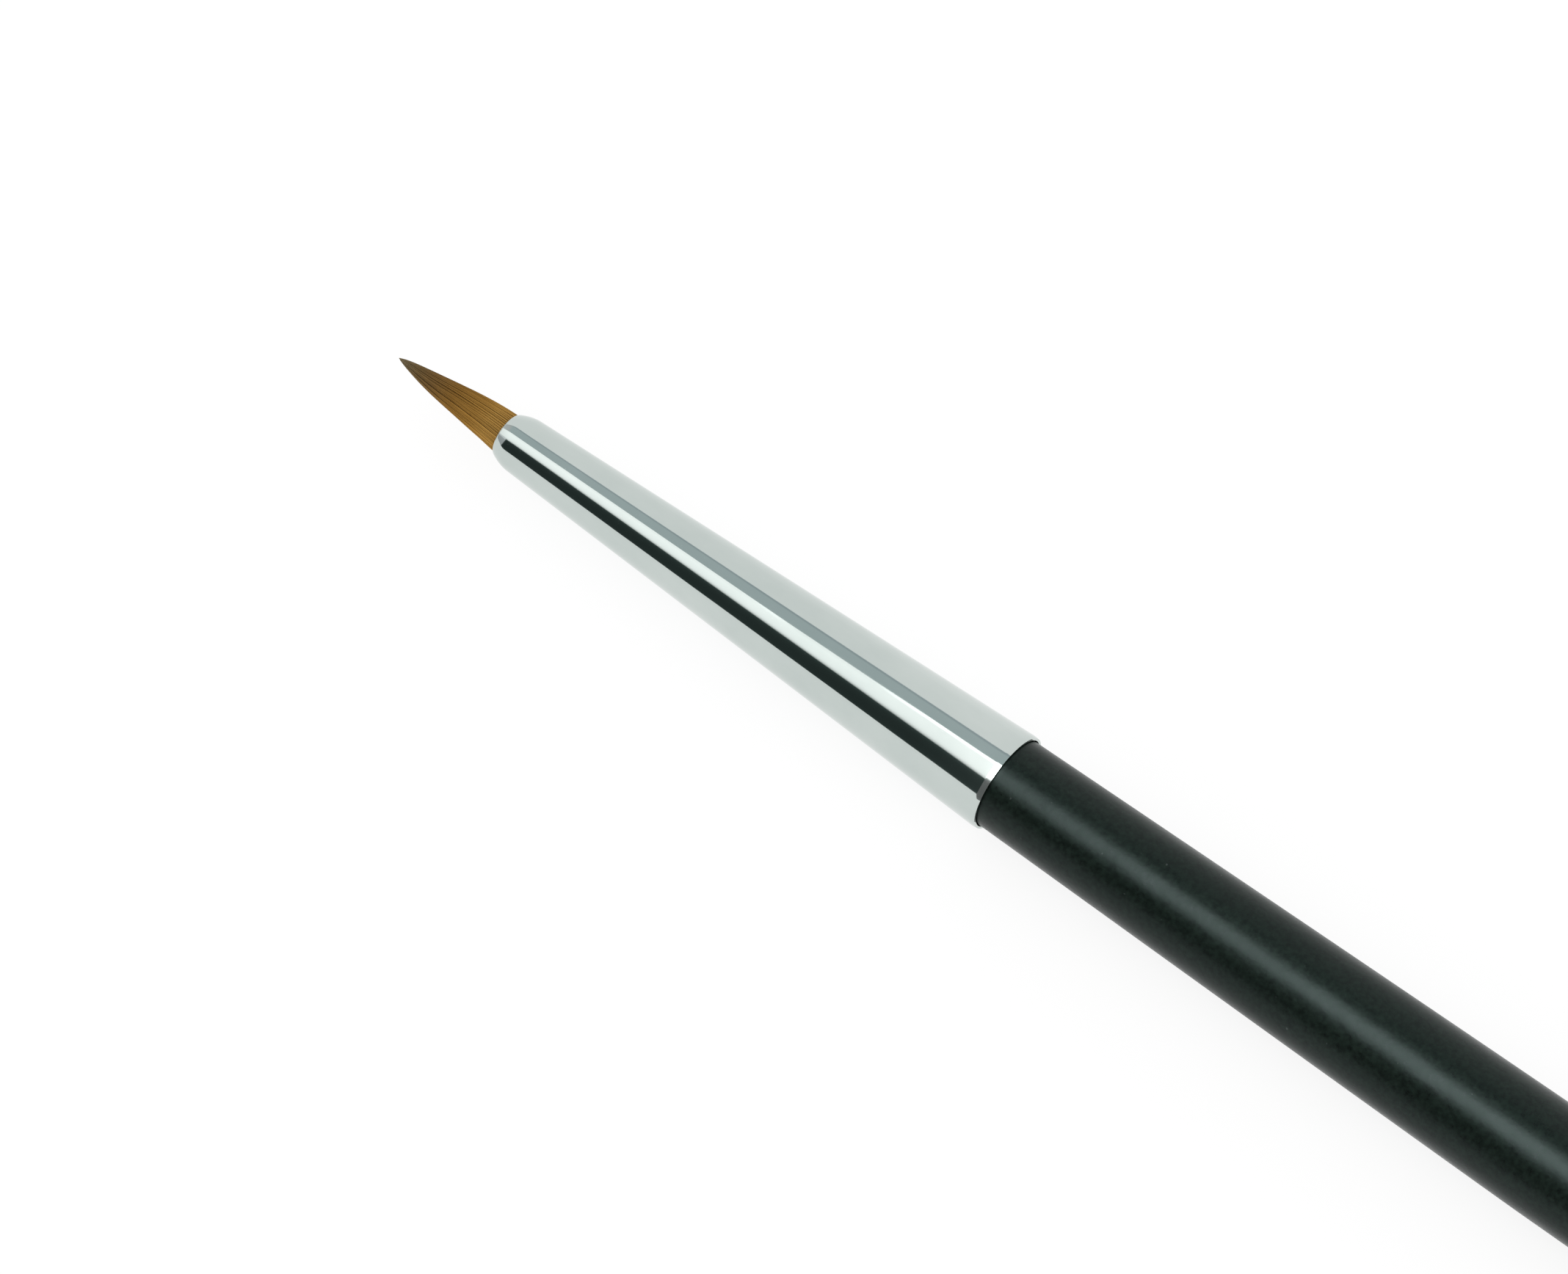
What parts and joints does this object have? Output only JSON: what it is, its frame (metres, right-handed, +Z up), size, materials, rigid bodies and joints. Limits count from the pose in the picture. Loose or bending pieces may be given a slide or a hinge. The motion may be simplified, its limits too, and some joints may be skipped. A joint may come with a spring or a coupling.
{
  "type": "fine detail brush",
  "caption": "Slim round hobby paint brush with a pointed hair tuft, a tapered plated ferrule and a swelling lacquered wooden handle; the tuft bends and springs back.",
  "frame": {"origin": "middle of the brush's length, on the surface that the belly of the handle rests on", "axes": "+X along the brush from the hair tip to the butt of the handle, +Z up, +Y completes the right hand"},
  "size_m": [0.18, 0.0062, 0.0062],
  "materials": {
    "handle_lacquer": "satin black lacquer on turned wood",
    "ferrule_plating": "bright polished plating",
    "adhesive": "set amber glue",
    "resin": "clear set resin",
    "thread": "waxed binding thread",
    "hair": "golden brown hair, darker towards the point"
  },
  "bodies": {
    "brush": {"handle": "handle_lacquer", "ferrule": "ferrule_plating", "handle_adhesive": "adhesive", "root_resin": "resin", "root_binding": "thread", "tuft_root": "hair"},
    "hair_base": {"tuft_base": "hair"},
    "hair_middle": {"tuft_middle": "hair"},
    "hair_tip": {"tuft_tip": "hair"}
  },
  "joints": [
    {"name": "hair_base_bend", "type": "hinge", "parent": "brush", "child": "hair_base", "pos_m": [-0.08265, 0, 0.00311], "axis": [0, 0, 1], "range_deg": [-25, 25], "stiffness_Nm_per_rad": 0.0004},
    {"name": "hair_middle_bend", "type": "hinge", "parent": "hair_base", "child": "hair_middle", "pos_m": [-0.085, 0, 0.00311], "axis": [0, 1, 0], "range_deg": [-20, 20], "stiffness_Nm_per_rad": 0.0002},
    {"name": "hair_tip_bend", "type": "hinge", "parent": "hair_middle", "child": "hair_tip", "pos_m": [-0.08715, 0, 0.00311], "axis": [0, 0, 1], "range_deg": [-25, 25], "stiffness_Nm_per_rad": 0.00008}
  ]
}
